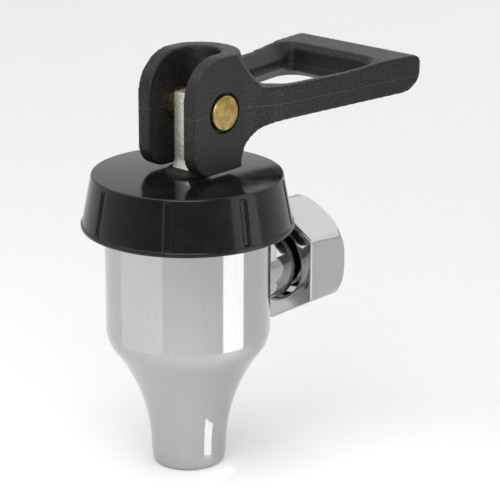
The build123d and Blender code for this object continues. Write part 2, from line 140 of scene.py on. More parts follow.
def apply_modifiers(obj):
    depsgraph = bpy.context.evaluated_depsgraph_get()
    mesh = bpy.data.meshes.new_from_object(obj.evaluated_get(depsgraph))
    obj.modifiers.clear()
    obj.data = mesh
    return obj


def combine(obj, other, operation):
    """Joins, cuts or intersects two closed meshes, removes the second, and clears slivers."""
    boolean = obj.modifiers.new("combine", "BOOLEAN")
    boolean.operation = operation
    boolean.solver = "EXACT"
    boolean.object = other
    apply_modifiers(obj)
    bpy.data.objects.remove(other)
    bm = bmesh.new()
    bm.from_mesh(obj.data)
    bmesh.ops.remove_doubles(bm, verts=bm.verts, dist=MERGE)
    bmesh.ops.dissolve_degenerate(bm, edges=bm.edges, dist=MERGE)
    bmesh.ops.triangulate(bm, faces=[face for face in bm.faces if len(face.verts) > 4])
    bmesh.ops.dissolve_degenerate(bm, edges=bm.edges, dist=MERGE)
    bm.to_mesh(obj.data)
    bm.free()
    return obj


def prism(name, outline, low, high, matrix):
    """Extrudes a closed outline from low to high along its own Z, then puts it in place."""
    bm = bmesh.new()
    face = bm.faces.new([bm.verts.new((x, y, low)) for x, y in outline])
    extruded = bmesh.ops.extrude_face_region(bm, geom=[face])
    moved = [item for item in extruded["geom"] if isinstance(item, bmesh.types.BMVert)]
    bmesh.ops.translate(bm, verts=moved, vec=(0, 0, high - low))
    bmesh.ops.transform(bm, matrix=matrix, verts=bm.verts)
    return add_object(name, bm)


def soften(obj, width):
    """Rounds a closed mesh's sharp edges over a width in millimetres."""
    bevel = obj.modifiers.new("edge", "BEVEL")
    bevel.width = width * MM
    bevel.segments = BEVEL_SEGMENTS
    bevel.limit_method = "ANGLE"
    bevel.angle_limit = BEVEL_ANGLE
    bevel.harden_normals = True
    apply_modifiers(obj)
    shade(obj.data)


def remould(obj, grid, passes):
    """Rebuilds a closed mesh on an even grid in millimetres, smoothed to a moulding's soft edges."""
    remesh = obj.modifiers.new("grid", "REMESH")
    remesh.mode = "VOXEL"
    remesh.voxel_size = grid * MM
    smooth = obj.modifiers.new("soft", "SMOOTH")
    smooth.factor = SMOOTHING_FACTOR
    smooth.iterations = passes
    return apply_modifiers(obj)


# Chromed body, in millimetres from the tap's axis and the bonnet's lower rim
BODY_RADIUS = (BODY_HIGH.x - BODY_LOW.x) / 2 / MM
BODY_TOP = (BODY_HIGH.z - TAP_AXIS.z) / MM
FOOT = (BODY_LOW.z - TAP_AXIS.z) / MM
SHOULDER_RADIUS = 7.0
FLARE_RADIUS = 35.1
SPOUT_NECK_RADIUS = 7.4
SPOUT_FOOT_RADIUS = 7.1
SPOUT_STRAIGHT = 2.6
SPOUT_WALL = 1.3
FOOT_ROUND = 0.5
BODY_WALL = 3.0
SEAT_TOP = -19.66
THROAT_RADIUS = 5.0
THROAT_LENGTH = 2.6
BOSS_RADIUS = 7.1
BOSS_EDGE = 0.5
PASSAGE_RADIUS = 4.1
BOSS_REACH = (BODY_HIGH.y - TAP_AXIS.y) / MM
TAIL_RADIUS = 5.9
TAIL_FLANGE_RADIUS = (TAIL_HIGH.x - TAIL_LOW.x) / 2 / MM
TAIL_FLANGE_THICKNESS = 1.7
TAIL_END = (TAIL_HIGH.y - TAP_AXIS.y) / MM


def build_body():
    start = FOOT + SPOUT_STRAIGHT
    turn = math.acos(1 - (BODY_RADIUS - SPOUT_NECK_RADIUS) / (FLARE_RADIUS + SHOULDER_RADIUS))
    crease = start + FLARE_RADIUS * math.sin(turn)
    shoulder = crease + SHOULDER_RADIUS * math.sin(turn)
    degrees = math.degrees(turn)
    chamber = BODY_RADIUS - BODY_WALL
    throat_top = SEAT_TOP - (chamber - THROAT_RADIUS)
    throat_foot = throat_top - THROAT_LENGTH
    bore = SPOUT_FOOT_RADIUS - SPOUT_WALL
    foot_centre = (SPOUT_FOOT_RADIUS - FOOT_ROUND, FOOT + FOOT_ROUND)
    outline = [(chamber, BODY_TOP), (BODY_RADIUS, BODY_TOP)]
    outline += arc((BODY_RADIUS - SHOULDER_RADIUS, shoulder), SHOULDER_RADIUS, 0, -degrees)
    outline += arc((SPOUT_NECK_RADIUS + FLARE_RADIUS, start), FLARE_RADIUS, 180 - degrees, 180)[1:]
    outline += arc(foot_centre, FOOT_ROUND, 0, -90, EDGE_STEPS)
    outline += [(bore, FOOT), (bore, throat_foot - 2 * (bore - THROAT_RADIUS))]
    outline += [(THROAT_RADIUS, throat_foot), (THROAT_RADIUS, throat_top), (chamber, SEAT_TOP)]
    body = lathe("chromed_body", metres(outline), ON_TAP)
    boss = [(0, chamber + OVERRUN), (BOSS_RADIUS, chamber + OVERRUN)]
    boss += arc((BOSS_RADIUS - BOSS_EDGE, BOSS_REACH - BOSS_EDGE), BOSS_EDGE, 0, 90, EDGE_STEPS)
    boss += [(0, BOSS_REACH)]
    body = combine(body, lathe("boss", metres(boss), ON_INLET, around=AROUND // 2), "UNION")
    passage = [(0, 0), (PASSAGE_RADIUS, 0), (PASSAGE_RADIUS, TAIL_END), (0, TAIL_END)]
    body = combine(body, lathe("passage", metres(passage), ON_INLET, around=AROUND // 4), "DIFFERENCE")
    shade(body.data)
    return body


def build_tail():
    flange = TAIL_END - TAIL_FLANGE_THICKNESS
    outline = [
        (PASSAGE_RADIUS, BOSS_REACH),
        (TAIL_RADIUS, BOSS_REACH),
        (TAIL_RADIUS, flange),
        (TAIL_FLANGE_RADIUS, flange),
        (TAIL_FLANGE_RADIUS, TAIL_END),
        (PASSAGE_RADIUS, TAIL_END),
    ]
    return lathe("flanged_tail", metres(outline), ON_INLET, around=AROUND // 2)


# Union nut, in millimetres from its front face
NUT_FLATS = (NUT_HIGH.x - NUT_LOW.x) / MM
NUT_LENGTH = (NUT_HIGH.y - NUT_LOW.y) / MM
NUT_FRONT = (NUT_LOW.y - TAP_AXIS.y) / MM
NUT_TURNED_RADIUS = 11.95
NUT_REAR_ROUND = 1.9
NUT_FRONT_EDGE = 0.35
NUT_CORNER_SHARPNESS = 70
NUT_LIP = 2.2
NUT_LIP_RADIUS = 7.7
NUT_LIP_EDGE = 0.8
NUT_THREAD_RADIUS = 8.8
NUT_THREAD_DEPTH = 0.8
NUT_THREAD_PITCH = 1.5
NUT_UNDERCUT_END = 5.8
NUT_MOUTH_CHAMFER = 0.8
NUT_LIP_GROOVES = 3
NUT_LIP_GROOVE_DEPTH = 0.25
NUT_BARE_RADIUS = 10.0
NUT_TOLERANCE = 0.001
NUT_EDGE_STEPS = 5
NUT_WALL_ROWS = 26
NUT_THREAD_ROWS = 60


def hexagon_reach(angle, flats):
    """The radius of a hexagon with softly rounded corners and flats facing +X and -X."""
    facing = (max(0.0, math.cos(angle - math.pi / 3 * side)) for side in range(6))
    total = sum(share ** NUT_CORNER_SHARPNESS for share in facing)
    return flats / 2 * total ** (-1 / NUT_CORNER_SHARPNESS)


def build_nut():
    corner = NUT_FLATS / math.sqrt(3)
    round_start = NUT_LENGTH - NUT_REAR_ROUND
    mouth = NUT_LENGTH - NUT_MOUTH_CHAMFER
    outer = arc((corner - NUT_FRONT_EDGE, NUT_FRONT_EDGE), NUT_FRONT_EDGE, -90, 0, NUT_EDGE_STEPS)
    for row in range(1, NUT_WALL_ROWS):
        share = row / NUT_WALL_ROWS
        reach = corner + (NUT_TURNED_RADIUS - corner) * share
        outer.append((reach, NUT_FRONT_EDGE + (round_start - NUT_FRONT_EDGE) * share))
    outer += arc((NUT_TURNED_RADIUS - NUT_REAR_ROUND, round_start), NUT_REAR_ROUND, 0, 90)
    bore = [(NUT_THREAD_RADIUS + NUT_MOUTH_CHAMFER, NUT_LENGTH)]
    for row in range(NUT_THREAD_ROWS + 1):
        bore.append((NUT_THREAD_RADIUS, mouth + (NUT_UNDERCUT_END - mouth) * row / NUT_THREAD_ROWS))
    undercut = NUT_THREAD_RADIUS + NUT_THREAD_DEPTH
    bore += [(undercut, NUT_UNDERCUT_END), (undercut, NUT_LIP)]
    grooves = 2 * NUT_LIP_GROOVES
    for row in range(grooves + 1):
        groove = NUT_LIP_GROOVE_DEPTH * (row % 2)
        bore.append((NUT_LIP_RADIUS + groove, NUT_LIP + (NUT_LIP_EDGE - NUT_LIP) * row / grooves))
    bore += arc((NUT_LIP_RADIUS + NUT_LIP_EDGE, NUT_LIP_EDGE), NUT_LIP_EDGE, 180, 270, EDGE_STEPS)[1:]

    def shape(radius, height, angle):
        if radius > (NUT_THREAD_RADIUS + NUT_MOUTH_CHAMFER + NUT_TOLERANCE) * MM:
            edge = min(1.0, height / (NUT_FRONT_EDGE * MM))
            rounding = NUT_FRONT_EDGE * (1 - math.sqrt(1 - (1 - edge) ** 2))
            return min(radius, hexagon_reach(angle, NUT_FLATS * MM) - rounding * MM)
        if abs(radius - NUT_THREAD_RADIUS * MM) < NUT_TOLERANCE * MM:
            phase = (height / MM / NUT_THREAD_PITCH - angle / (2 * math.pi)) % 1
            return radius + NUT_THREAD_DEPTH * MM * (1 - abs(2 * phase - 1))
        return radius

    on_nut = ON_INLET @ Matrix.Translation((0, 0, NUT_FRONT * MM))
    return lathe("hexagon_nut", metres(outer + bore), on_nut, shape, around=2 * AROUND)


# Bonnet, in millimetres from its lower rim
BONNET_RIM_RADIUS = (BONNET_HIGH.x - BONNET_LOW.x) / 2 / MM
BONNET_HEIGHT = (BONNET_HIGH.z - BONNET_LOW.z) / MM
BONNET_TOP_RADIUS = 18.35
BONNET_LIP_HEIGHT = 1.0
BONNET_LIP_STEP = 0.3
BONNET_LIP_EDGE = 0.35
BONNET_TOP_EDGE = 0.4
BONNET_PLATE = 2.4
BONNET_THREAD_RADIUS = 16.1
BONNET_SHOULDER = 6.6
BONNET_SKIRT_ROWS = 40
STEM_HOLE_RADIUS = 4.25
GROOVES = 8
GROOVE_HALF_WIDTH = 0.9
GROOVE_DEPTH = 0.45
GROOVE_SIDE = 0.6
GROOVE_TOP = 9.4
GROOVE_CLOCKING = math.radians(-12.5)


def ease(value):
    """A smooth step from 0 to 1 for values from 0 to 1."""
    value = min(1.0, max(0.0, value))
    return value * value * (3 - 2 * value)


def build_bonnet():
    skirt = BONNET_RIM_RADIUS - BONNET_LIP_STEP
    lean = (skirt - BONNET_TOP_RADIUS) / (BONNET_HEIGHT - BONNET_LIP_HEIGHT)
    ceiling = BONNET_HEIGHT - BONNET_PLATE
    chamber = BODY_RADIUS - BODY_WALL
    lip = BONNET_RIM_RADIUS - BONNET_LIP_EDGE
    outline = [(STEM_HOLE_RADIUS, BONNET_HEIGHT), (STEM_HOLE_RADIUS, ceiling)]
    outline += [(chamber, ceiling), (chamber, BONNET_SHOULDER)]
    outline += [(BONNET_THREAD_RADIUS, BONNET_SHOULDER), (BONNET_THREAD_RADIUS, 0)]
    outline += arc((lip, BONNET_LIP_EDGE), BONNET_LIP_EDGE, -90, 0, EDGE_STEPS)
    outline += arc((lip, BONNET_LIP_HEIGHT - BONNET_LIP_EDGE), BONNET_LIP_EDGE, 0, 90, EDGE_STEPS)
    top = BONNET_HEIGHT - BONNET_TOP_EDGE
    for row in range(BONNET_SKIRT_ROWS + 1):
        height = BONNET_LIP_HEIGHT + (top - BONNET_LIP_HEIGHT) * row / BONNET_SKIRT_ROWS
        outline.append((skirt - lean * (height - BONNET_LIP_HEIGHT), height))
    edge_radius = skirt - lean * (top - BONNET_LIP_HEIGHT)
    outline += arc((edge_radius - BONNET_TOP_EDGE, top), BONNET_TOP_EDGE, 0, 90, EDGE_STEPS)[1:]

    def shape(radius, height, angle):
        across = (angle - GROOVE_CLOCKING) % (2 * math.pi / GROOVES)
        across = min(across, 2 * math.pi / GROOVES - across) * radius / MM
        above = height / MM
        if above <= BONNET_LIP_HEIGHT or radius / MM < BONNET_TOP_RADIUS - BONNET_TOP_EDGE:
            return radius
        wide = 1 - ease((across - GROOVE_HALF_WIDTH + GROOVE_SIDE) / GROOVE_SIDE)
        tall = 1 - ease((above - GROOVE_TOP) / GROOVE_SIDE)
        return radius - GROOVE_DEPTH * MM * wide * tall

    return lathe("bonnet_cap", metres(outline), ON_TAP, shape, around=4 * AROUND)


# Lever, in millimetres from the pivot, along the lever and up
CLEVIS_HALF_WIDTH = 7.5
CHEEK_THICKNESS = 3.1
CHEEK_FRONT = (PIVOT.y - LEVER_LOW.y) / MM
CHEEK_FOOT = (PIVOT.z - LEVER_LOW.z) / MM
CHEEK_TOP = (LEVER_HIGH.z - PIVOT.z) / MM
CHEEK_BACK = 4.7
CHEEK_TOP_RADIUS = 8.2
CHEEK_TOE_RADIUS = 4.2
NOTCH_RADIUS = 8.2
SADDLE_RADIUS = 12.0
SADDLE_CENTRE = 0.8
SADDLE_TOP_RADIUS = 7.8
SADDLE_FOOT_RADIUS = 12.3
ARM_TOP = 3.5
ARM_BOTTOM = 3.3
ARM_END_TOP = 4.3
ARM_END_BOTTOM = 3.0
ARM_THICKNESS = 3.8
ARM_RISE_LENGTH = 20.0
LEVER_REACH = (LEVER_HIGH.y - PIVOT.y) / MM
LEVER_END_HALF_WIDTH = 15.5
LEVER_END_ROUND = 2.2
LEVER_END_HEEL = 4.8
LEVER_CORNER_ROUND = 0.6
FLARE_START = 6.4
FLARE_END = 11.5
FLARE_HALF_WIDTH = 10.9
FLARE_ROUND = 8.0
CROSSBAR_DEPTH = 10.2
SLOT_CENTRE = 0.5
WEB_BACK = 12.0
WEB_BOTTOM = 1.1
LOOP_ROUND = 1.6
LOOP_WALL_TOP = 1.2
LOOP_WALL_BOTTOM = 0.6
CROSSBAR_BEVEL = 1.1
CROSSBAR_SCOOP = 2.6
PART_LINE = 0.06
LEVER_GRID = 0.3
LEVER_SMOOTHING = 5
LEVER_SHARP_ANGLE = math.radians(50)
STUD_RADIUS = 3.4
STUD_RUN = 0.08
STUD_RELIEF = 0.6
STUD_RELIEF_DEPTH = 0.8
BEARING_STEPS = 72


def arc_between(start, end, radius, left):
    """Points on the shorter arc between two points; its centre lies left of the way, or right."""
    start, end = Vector(start), Vector(end)
    chord = end - start
    half = chord.length / 2
    side = Vector((-chord.y, chord.x)).normalized() * (1 if left else -1)
    centre = (start + end) / 2 + side * math.sqrt(radius * radius - half * half)
    first = math.degrees(math.atan2(start.y - centre.y, start.x - centre.x))
    last = math.degrees(math.atan2(end.y - centre.y, end.x - centre.x))
    sweep = (last - first + 180) % 360 - 180
    return arc(centre, radius, first, first + sweep)


def rounded(points, radii, chosen):
    """A closed outline whose chosen corners are replaced with arcs, of one radius or one each."""
    outline = []
    for index, point in enumerate(points):
        if index not in chosen:
            outline.append(point)
            continue
        radius = radii[index] if isinstance(radii, tuple) else radii
        here = Vector(point)
        before = (Vector(points[index - 1]) - here).normalized()
        after = (Vector(points[(index + 1) % len(points)]) - here).normalized()
        cut = radius / math.tan(before.angle(after) / 2)
        start, end = here + before * cut, here + after * cut
        outline += arc_between(start, end, radius, before.cross(after) < 0)
    return outline


def lever_side():
    front = -CHEEK_FRONT
    notch_rise = CHEEK_FOOT - ARM_BOTTOM
    notch_run = math.sqrt(NOTCH_RADIUS ** 2 - (NOTCH_RADIUS - notch_rise) ** 2)
    toe = (front + CHEEK_TOE_RADIUS, CHEEK_TOE_RADIUS - CHEEK_FOOT)
    crown = (front + CHEEK_TOP_RADIUS, CHEEK_TOP - CHEEK_TOP_RADIUS)
    outline = arc(toe, CHEEK_TOE_RADIUS, 180, 270)
    notch = (CHEEK_BACK + notch_run, -ARM_BOTTOM)
    outline += arc_between((CHEEK_BACK, -CHEEK_FOOT), notch, NOTCH_RADIUS, False)
    end = [(LEVER_REACH, -ARM_END_BOTTOM), (LEVER_REACH, ARM_END_TOP)]
    end.append((LEVER_REACH - CROSSBAR_DEPTH, ARM_END_TOP))
    corners = rounded([outline[-1], *end], (0, LEVER_END_HEEL, LEVER_END_ROUND), (1, 2))
    outline += corners[1:]
    outline.append((LEVER_REACH - ARM_RISE_LENGTH, ARM_TOP))
    outline += [(SADDLE_CENTRE + reach, height) for reach, height in saddle()]
    outline += arc(crown, CHEEK_TOP_RADIUS, 90, 180)
    return outline


def saddle():
    """The sweep from the arms' top up to the round back of the clevis, by radius and height."""
    foot, top = (SADDLE_FOOT_RADIUS, ARM_TOP), (SADDLE_TOP_RADIUS, CHEEK_TOP)
    return arc_between(foot, top, SADDLE_RADIUS, False)


def loop_outline(start, end, spread):
    """The finger loop's opening between two distances from the pivot, grown outwards by spread."""
    slope = (LEVER_END_HALF_WIDTH - FLARE_HALF_WIDTH) / (LEVER_REACH - FLARE_END)
    start, end = start - spread, end + spread
    wall = FLARE_HALF_WIDTH - ARM_THICKNESS + spread * math.hypot(1, slope)
    near, far = (wall + slope * (place - FLARE_END) for place in (start, end))
    corners = [(-near, start), (near, start), (far, end), (-far, end)]
    return rounded(corners, LOOP_ROUND + spread, range(len(corners)))


def funnel(name, low_outline, low, high_outline, high, matrix):
    """A closed shape between two outlines with as many points, at two heights."""
    bm = bmesh.new()
    below = [bm.verts.new((x, y, low)) for x, y in low_outline]
    above = [bm.verts.new((x, y, high)) for x, y in high_outline]
    for index in range(len(below)):
        after = (index + 1) % len(below)
        bm.faces.new((below[index], below[after], above[after], above[index]))
    bm.faces.new(below)
    bm.faces.new(above)
    bmesh.ops.transform(bm, matrix=matrix, verts=bm.verts)
    return add_object(name, bm)


def build_lever():
    from_above = Matrix.Translation(PIVOT)
    tall = 2 * (CHEEK_FOOT + CHEEK_TOP) * MM
    wide = 2 * LEVER_END_HALF_WIDTH * MM
    front = -CHEEK_FRONT
    lever = prism("loop_lever", metres(lever_side()), -wide, wide, from_above @ SIDE_VIEW)
    plan = [
        (-CLEVIS_HALF_WIDTH, 2 * front),
        (CLEVIS_HALF_WIDTH, 2 * front),
        (CLEVIS_HALF_WIDTH, FLARE_START),
        (FLARE_HALF_WIDTH, FLARE_END),
        (LEVER_END_HALF_WIDTH, LEVER_REACH),
        (-LEVER_END_HALF_WIDTH, LEVER_REACH),
        (-FLARE_HALF_WIDTH, FLARE_END),
        (-CLEVIS_HALF_WIDTH, FLARE_START),
    ]
    flares, corners = (FLARE_ROUND, FLARE_ROUND), (LEVER_CORNER_ROUND, LEVER_CORNER_ROUND)
    plan = rounded(plan, (0, 0, *flares, *corners, *flares), range(2, len(plan)))
    lever = combine(lever, prism("plan", metres(plan), -tall, tall, from_above), "INTERSECT")

    start = SADDLE_CENTRE * MM
    back = (SADDLE_CENTRE + SADDLE_FOOT_RADIUS) * MM
    block = [(-wide, start), (wide, start), (wide, back), (-wide, back)]
    waste = prism("waste", block, ARM_TOP * MM, (CHEEK_TOP + OVERRUN) * MM, from_above)
    post_foot, post_top = ARM_TOP - OVERRUN, CHEEK_TOP + 2 * OVERRUN
    post = [(0, post_foot), (SADDLE_FOOT_RADIUS, post_foot), *saddle()]
    post += [(SADDLE_TOP_RADIUS, post_top), (0, post_top)]
    on_post = from_above @ Matrix.Translation((0, start, 0))
    waste = combine(waste, lathe("post", metres(post), on_post, around=AROUND // 2), "DIFFERENCE")
    lever = combine(lever, waste, "DIFFERENCE")

    loop_end = LEVER_REACH - CROSSBAR_DEPTH
    window = metres(loop_outline(WEB_BACK, loop_end, 0))
    lever = combine(lever, prism("window", window, -tall, tall, from_above), "DIFFERENCE")
    bevels = ((1, LOOP_WALL_TOP, ARM_END_TOP, 0), (-1, LOOP_WALL_BOTTOM, ARM_BOTTOM, CROSSBAR_SCOOP))
    for side, wall, edge, scoop in bevels:
        spread = edge - wall
        near, far = WEB_BACK + spread, loop_end + CROSSBAR_BEVEL - spread
        inner = metres(loop_outline(near, far, 0))
        outer = metres(loop_outline(near, far + scoop, spread + OVERRUN))
        deep, shallow = side * wall * MM, side * (edge + OVERRUN) * MM
        bevel = funnel("loop_bevel", inner, deep, outer, shallow, from_above)
        lever = combine(lever, bevel, "DIFFERENCE")

    gap = CLEVIS_HALF_WIDTH - CHEEK_THICKNESS
    slot = [(-gap, 3 * front), (gap, 3 * front), *arc((0, SLOT_CENTRE), gap, 0, 180)]
    lever = combine(lever, prism("slot", metres(slot), -tall, tall, from_above), "DIFFERENCE")
    throat_end = WEB_BACK + LOOP_ROUND
    throat = [(-gap, front), (gap, front), (gap, throat_end), (-gap, throat_end)]
    throat = prism("throat", metres(throat), -tall, -WEB_BOTTOM * MM, from_above)
    lever = combine(lever, throat, "DIFFERENCE")
    remould(lever, LEVER_GRID, LEVER_SMOOTHING)
    across = from_above @ Matrix.Rotation(math.radians(90), 4, "Y")
    hole, relief = STUD_RADIUS + STUD_RUN, STUD_RADIUS + STUD_RELIEF
    face = CLEVIS_HALF_WIDTH - STUD_RELIEF_DEPTH
    bearing = [(0, -3 * face), (relief, -3 * face), (relief, -face), (hole, -face)]
    bearing += [(hole, face), (relief, face), (relief, 3 * face), (0, 3 * face)]
    lever = combine(lever, lathe("bearing", metres(bearing), across, around=BEARING_STEPS), "DIFFERENCE")
    shade(lever.data, LEVER_SHARP_ANGLE)
    return lever


# Brass studs, in millimetres from the lever's middle outwards
STUD_SHOULDER = 2.2
STUD_PROUD = 0.4
STUD_EDGE = 0.35
STUD_STEPS = 96


def build_stud(side):
    end = CLEVIS_HALF_WIDTH + STUD_PROUD
    outline = [(0, STUD_SHOULDER), (STUD_RADIUS, STUD_SHOULDER)]
    outline += arc((STUD_RADIUS - STUD_EDGE, end - STUD_EDGE), STUD_EDGE, 0, 90, EDGE_STEPS)
    outline.append((0, end))
    outwards = Matrix.Translation(PIVOT) @ Matrix.Rotation(math.radians(90 * side), 4, "Y")
    name = "brass_stud_right" if side > 0 else "brass_stud_left"
    return lathe(name, metres(outline), outwards, around=STUD_STEPS)


# Stem, in millimetres from the tap's axis and the bonnet's lower rim
STEM_LOW, STEM_HIGH = (Vector(corner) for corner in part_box("stem"))
STEM_FOOT = (STEM_LOW.z - TAP_AXIS.z) / MM
STEM_TOP = (STEM_HIGH.z - TAP_AXIS.z) / MM
STEM_RADIUS = 4.2
STEM_RECESS = 0.2
STEM_COLLAR_RADIUS = (STEM_HIGH.x - STEM_LOW.x) / 2 / MM
STEM_COLLAR_THICKNESS = 1.6
STEM_NECK_RADIUS = 2.0
STEM_NECK_LENGTH = 2.2
STEM_BUTTON_RADIUS = 3.4
STEM_BUTTON_THICKNESS = 1.8
TONGUE_THICKNESS = 4.4
TONGUE_FRONT = 3.9
TONGUE_BACK = 2.4
TONGUE_ROUND = 0.45
TONGUE_ROOT = 0.5
TONGUE_TOE = 1.0
TONGUE_TOE_RISE = 2.6
HEEL_INSET = 0.9
HEEL_CLEAR = 0.4
WIPER_RISE = 1.1
WIPER_ROUND = 1.1
WIPER_GAP = 0.05
WIPER_STEPS = 12
COLLAR_FOOT = STEM_FOOT + STEM_BUTTON_THICKNESS + STEM_NECK_LENGTH
COLLAR_TOP = COLLAR_FOOT + STEM_COLLAR_THICKNESS


def build_stem():
    button_top = STEM_FOOT + STEM_BUTTON_THICKNESS
    rod_top = BONNET_HEIGHT - STEM_RECESS
    rod = [(0, STEM_FOOT), (STEM_BUTTON_RADIUS, STEM_FOOT), (STEM_BUTTON_RADIUS, button_top)]
    rod += [(STEM_NECK_RADIUS, button_top), (STEM_NECK_RADIUS, COLLAR_FOOT)]
    rod += [(STEM_COLLAR_RADIUS, COLLAR_FOOT), (STEM_COLLAR_RADIUS, COLLAR_TOP)]
    rod += [(STEM_RADIUS, COLLAR_TOP), (STEM_RADIUS, rod_top), (0, rod_top)]
    stem = lathe("cast_stem", metres(rod), ON_TAP, around=AROUND // 2)
    pivot_y = (PIVOT.y - TAP_AXIS.y) / MM
    front, back = pivot_y - TONGUE_FRONT, pivot_y + TONGUE_BACK
    foot = rod_top - TONGUE_ROOT
    heel, heel_top = STEM_RADIUS - HEEL_INSET, BONNET_HEIGHT + HEEL_CLEAR
    side = [(front - TONGUE_TOE, foot), (heel, foot), (heel, heel_top), (back, heel_top + back - heel)]
    side += [(back, STEM_TOP), (front, STEM_TOP)]
    side += [(front, BONNET_HEIGHT + TONGUE_TOE_RISE), (front - TONGUE_TOE, BONNET_HEIGHT)]
    half = TONGUE_THICKNESS / 2 * MM
    side = metres(rounded(side, TONGUE_ROUND, range(2, len(side))))
    tongue = prism("tongue", side, -half, half, ON_TAP @ SIDE_VIEW)
    soften(tongue, TONGUE_ROUND)
    stem = combine(stem, tongue, "UNION")
    shade(stem.data)
    return stem


def build_wiper():
    """A low rubber collar that closes the bonnet's hole round the tongue."""
    low, high = BONNET_HEIGHT - STEM_RECESS, BONNET_HEIGHT + WIPER_RISE
    reach = STEM_RADIUS - WIPER_GAP
    outline = [(0, low), (reach, low)]
    outline += arc((reach - WIPER_ROUND, high - WIPER_ROUND), WIPER_ROUND, 0, 90, WIPER_STEPS)
    outline.append((0, high))
    return lathe("stem_wiper", metres(outline), ON_TAP, around=AROUND // 2)


# Spring and seat cup, in millimetres from the tap's axis and the bonnet's lower rim
SPRING_LOW, SPRING_HIGH = (Vector(corner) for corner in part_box("spring"))
SPRING_TOP = (SPRING_HIGH.z - TAP_AXIS.z) / MM
SPRING_WIRE = 1.2
SPRING_MEAN_RADIUS = 5.5
SPRING_TURNS = 8
SPRING_STEPS = 40
WIRE_SIDES = 14
CUP_LOW, CUP_HIGH = (Vector(corner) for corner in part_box("seat_cup"))
CUP_TOP = (CUP_HIGH.z - TAP_AXIS.z) / MM
CUP_FOOT = (CUP_LOW.z - TAP_AXIS.z) / MM
CUP_FLANGE_RADIUS = (CUP_HIGH.x - CUP_LOW.x) / 2 / MM
CUP_TOP_RADIUS = 10.8
CUP_NOSE_RADIUS = 8.6
CUP_WALL = 1.4
CUP_FIT = 0.3


def build_spring():
    """A coil whose ends are ground flat on the collar and the washer."""
    bm = bmesh.new()
    rows = []
    steps = SPRING_TURNS * SPRING_STEPS
    rise = SPRING_TOP - COLLAR_TOP
    for step in range(steps + 1):
        angle = 2 * math.pi * step / SPRING_STEPS
        centre = COLLAR_TOP + rise * step / steps
        ring = []
        for side in range(WIRE_SIDES):
            turn = 2 * math.pi * side / WIRE_SIDES
            reach = SPRING_MEAN_RADIUS + SPRING_WIRE / 2 * math.cos(turn)
            height = min(SPRING_TOP, max(COLLAR_TOP, centre + SPRING_WIRE / 2 * math.sin(turn)))
            point = Vector((reach * math.cos(angle), reach * math.sin(angle), height))
            ring.append(bm.verts.new(point * MM))
        rows.append(ring)
    for here, beyond in zip(rows, rows[1:]):
        for side in range(WIRE_SIDES):
            after = (side + 1) % WIRE_SIDES
            bm.faces.new((here[side], here[after], beyond[after], beyond[side]))
    bm.faces.new(rows[0])
    bm.faces.new(rows[-1])
    bmesh.ops.transform(bm, matrix=ON_TAP, verts=bm.verts)
    return add_object("coil_spring", bm)


def build_cup():
    """A flanged silicone sleeve with a conical nose, hollow round the stem's button."""
    chamber = BODY_RADIUS - BODY_WALL
    floor = COLLAR_FOOT - CUP_FIT
    cone_top = CUP_FOOT + CUP_NOSE_RADIUS - THROAT_RADIUS + CUP_FIT
    socket_foot, socket_top = STEM_FOOT - CUP_FIT, STEM_FOOT + STEM_BUTTON_THICKNESS + CUP_FIT
    socket, neck = STEM_BUTTON_RADIUS + CUP_FIT, STEM_NECK_RADIUS + CUP_FIT
    outline = [(CUP_TOP_RADIUS - CUP_WALL, CUP_TOP), (CUP_FLANGE_RADIUS, CUP_TOP)]
    outline += [(CUP_FLANGE_RADIUS, BODY_TOP), (CUP_TOP_RADIUS, BODY_TOP)]
    outline.append((CUP_NOSE_RADIUS, cone_top + chamber - CUP_NOSE_RADIUS))
    outline += [(CUP_NOSE_RADIUS, cone_top), (THROAT_RADIUS - 2 * CUP_FIT, CUP_FOOT), (0, CUP_FOOT)]
    outline += [(0, socket_foot), (socket, socket_foot), (socket, socket_top), (neck, socket_top)]
    outline += [(neck, floor), (CUP_NOSE_RADIUS - CUP_WALL, floor)]
    return lathe("silicone_cup", metres(outline), ON_TAP, around=AROUND // 2)


# Finishes. Nearly all of a noise pattern's values lie in this span.
NOISE_SPAN = (0.3, 0.7)


def principled(name, sockets):
    """A new material, and its shader with the named sockets set."""
    material = bpy.data.materials.new(name)
    material.use_nodes = True
    shader = material.node_tree.nodes["Principled BSDF"]
    for socket, value in sockets.items():
        shader.inputs[socket].default_value = value
    return material, shader


def grain(material, size, detail=3.0, stretch=(1, 1, 1)):
    """A noise pattern with features of about that size in metres, in the piece's own coordinates."""
    nodes, links = material.node_tree.nodes, material.node_tree.links
    place = nodes.new("ShaderNodeTexCoord")
    scale = nodes.new("ShaderNodeMapping")
    scale.inputs["Scale"].default_value = stretch
    noise = nodes.new("ShaderNodeTexNoise")
    noise.inputs["Scale"].default_value = 1 / size
    noise.inputs["Detail"].default_value = detail
    links.new(place.outputs["Object"], scale.inputs["Vector"])
    links.new(scale.outputs["Vector"], noise.inputs["Vector"])
    return noise.outputs["Fac"]


def tint(material, shader, pattern, low, high, between=(0.35, 0.65)):
    """Colours the shader from low to high along the pattern."""
    ramp = material.node_tree.nodes.new("ShaderNodeValToRGB")
    for stop, place, colour in zip(ramp.color_ramp.elements, between, (low, high)):
        stop.position = place
        stop.color = (*colour, 1)
    material.node_tree.links.new(pattern, ramp.inputs["Fac"])
    material.node_tree.links.new(ramp.outputs["Color"], shader.inputs["Base Color"])


def set_range(node, span, levels):
    """Makes a map-range node take a span of values to a span of levels."""
    for end, value, level in zip(("Min", "Max"), span, levels):
        node.inputs["From " + end].default_value = value
        node.inputs["To " + end].default_value = level


